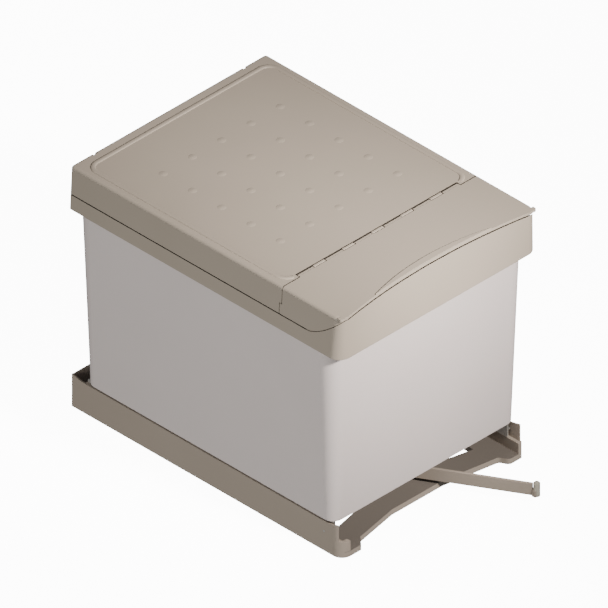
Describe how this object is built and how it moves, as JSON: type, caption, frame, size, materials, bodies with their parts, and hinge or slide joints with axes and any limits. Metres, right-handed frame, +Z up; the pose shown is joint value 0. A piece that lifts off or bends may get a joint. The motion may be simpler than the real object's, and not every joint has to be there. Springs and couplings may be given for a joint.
{
  "type": "dual compartment recycling bin",
  "caption": "Pull-out under-sink recycling bin: taupe base tray and sliding carriage, pale tapered outer bin with rim, hinged lid and flap, two inner buckets and a door pull arm.",
  "frame": {"origin": "centre of the base tray's footprint and of its four screw holes, on its underside", "axes": "+Z up, -Y towards the front where the bin pulls out, +X to the right seen from the front"},
  "size_m": [0.332, 0.535, 0.3589],
  "materials": {
    "base_tray": "moulded matt taupe plastic",
    "rear_buffers": "matt black rubber",
    "tray_roller_axles": "plain steel",
    "tray_roller_left": "natural acetal",
    "tray_roller_right": "natural acetal",
    "carriage_platform": "moulded matt taupe plastic",
    "runner_left": "zinc-plated steel",
    "runner_right": "zinc-plated steel",
    "runner_screws": "zinc-plated steel",
    "carriage_wheel_left": "natural acetal",
    "carriage_wheel_right": "natural acetal",
    "carriage_wheel_axles": "plain steel",
    "arm_pivot_pin": "plain steel",
    "pull_arm": "moulded matt taupe plastic",
    "arm_roller": "pale acetal",
    "arm_roller_pin": "pale acetal",
    "outer_bin": "fine matt pale grey-white plastic",
    "rim_frame": "fine matt taupe plastic",
    "main_lid": "fine matt taupe plastic",
    "lid_hinge_pins": "plain steel",
    "front_flap": "fine matt taupe plastic",
    "flap_hinge_rod": "plain steel",
    "front_bucket": "smooth pale grey plastic",
    "front_bail": "moulded taupe plastic",
    "rear_bucket": "smooth pale grey plastic",
    "rear_bail": "moulded taupe plastic"
  },
  "bodies": {
    "base": {"base_tray": "base_tray", "rear_buffers": "rear_buffers", "tray_roller_axles": "tray_roller_axles"},
    "tray_roller_left": {"tray_roller_left": "tray_roller_left"},
    "tray_roller_right": {"tray_roller_right": "tray_roller_right"},
    "carriage": {"carriage_platform": "carriage_platform", "runner_left": "runner_left", "runner_right": "runner_right", "runner_screws": "runner_screws", "carriage_wheel_axles": "carriage_wheel_axles", "arm_pivot_pin": "arm_pivot_pin"},
    "carriage_wheel_left": {"carriage_wheel_left": "carriage_wheel_left"},
    "carriage_wheel_right": {"carriage_wheel_right": "carriage_wheel_right"},
    "arm": {"pull_arm": "pull_arm", "arm_roller_pin": "arm_roller_pin"},
    "arm_tip": {"arm_roller": "arm_roller"},
    "bin": {"outer_bin": "outer_bin"},
    "rim": {"rim_frame": "rim_frame"},
    "lid": {"main_lid": "main_lid", "lid_hinge_pins": "lid_hinge_pins", "flap_hinge_rod": "flap_hinge_rod"},
    "flap": {"front_flap": "front_flap"},
    "front_bucket": {"front_bucket": "front_bucket"},
    "rear_bucket": {"rear_bucket": "rear_bucket"},
    "front_bail": {"front_bail": "front_bail"},
    "rear_bail": {"rear_bail": "rear_bail"}
  },
  "joints": [
    {"name": "carriage_slide", "type": "slide", "parent": "base", "child": "carriage", "axis": [0, -1, 0], "range_m": [0, 0.3]},
    {"name": "tray_roller_left_spin", "type": "hinge", "parent": "base", "child": "tray_roller_left", "pos_m": [-0.1471, -0.195, 0.0283], "axis": [1, 0, 0], "continuous": true},
    {"name": "carriage_wheel_left_spin", "type": "hinge", "parent": "carriage", "child": "carriage_wheel_left", "pos_m": [-0.1462, 0.195, 0.0317], "axis": [1, 0, 0], "continuous": true},
    {"name": "tray_roller_right_spin", "type": "hinge", "parent": "base", "child": "tray_roller_right", "pos_m": [0.1471, -0.195, 0.0283], "axis": [1, 0, 0], "continuous": true},
    {"name": "carriage_wheel_right_spin", "type": "hinge", "parent": "carriage", "child": "carriage_wheel_right", "pos_m": [0.1462, 0.195, 0.0317], "axis": [1, 0, 0], "continuous": true},
    {"name": "arm_swing", "type": "hinge", "parent": "carriage", "child": "arm", "pos_m": [0, -0.1438, 0.02175], "axis": [0, 0, 1], "range_deg": [-80, 20]},
    {"name": "arm_roller_spin", "type": "hinge", "parent": "arm", "child": "arm_tip", "pos_m": [0.09378, -0.30558, 0.02345], "axis": [0, 0, 1], "continuous": true},
    {"name": "bin_lift", "type": "slide", "parent": "carriage", "child": "bin", "axis": [0, 0, 1], "range_m": [0, 0.06]},
    {"name": "rim_lift", "type": "slide", "parent": "bin", "child": "rim", "axis": [0, 0, 1], "range_m": [0, 0.06]},
    {"name": "lid_hinge", "type": "hinge", "parent": "rim", "child": "lid", "pos_m": [0, 0.21092, 0.33], "axis": [-1, 0, 0], "range_deg": [0, 95]},
    {"name": "flap_hinge", "type": "hinge", "parent": "lid", "child": "flap", "pos_m": [0, -0.1342, 0.3549], "axis": [-1, 0, 0], "range_deg": [0, 90]},
    {"name": "front_bucket_lift", "type": "slide", "parent": "bin", "child": "front_bucket", "axis": [0, 0, 1], "range_m": [0, 0.08]},
    {"name": "front_bail_swing", "type": "hinge", "parent": "front_bucket", "child": "front_bail", "pos_m": [0, -0.11135, 0.2561], "axis": [-1, 0, 0], "range_deg": [0, 180]},
    {"name": "rear_bucket_lift", "type": "slide", "parent": "bin", "child": "rear_bucket", "axis": [0, 0, 1], "range_m": [0, 0.08]},
    {"name": "rear_bail_swing", "type": "hinge", "parent": "rear_bucket", "child": "rear_bail", "pos_m": [0, 0.09865, 0.2561], "axis": [-1, 0, 0], "range_deg": [0, 180]}
  ],
  "couplings": [
    {"joint": "tray_roller_left_spin", "follows": "carriage_slide", "rad_per_m": 200},
    {"joint": "carriage_wheel_left_spin", "follows": "carriage_slide", "rad_per_m": 119.05},
    {"joint": "tray_roller_right_spin", "follows": "carriage_slide", "rad_per_m": 200},
    {"joint": "carriage_wheel_right_spin", "follows": "carriage_slide", "rad_per_m": 119.05}
  ]
}
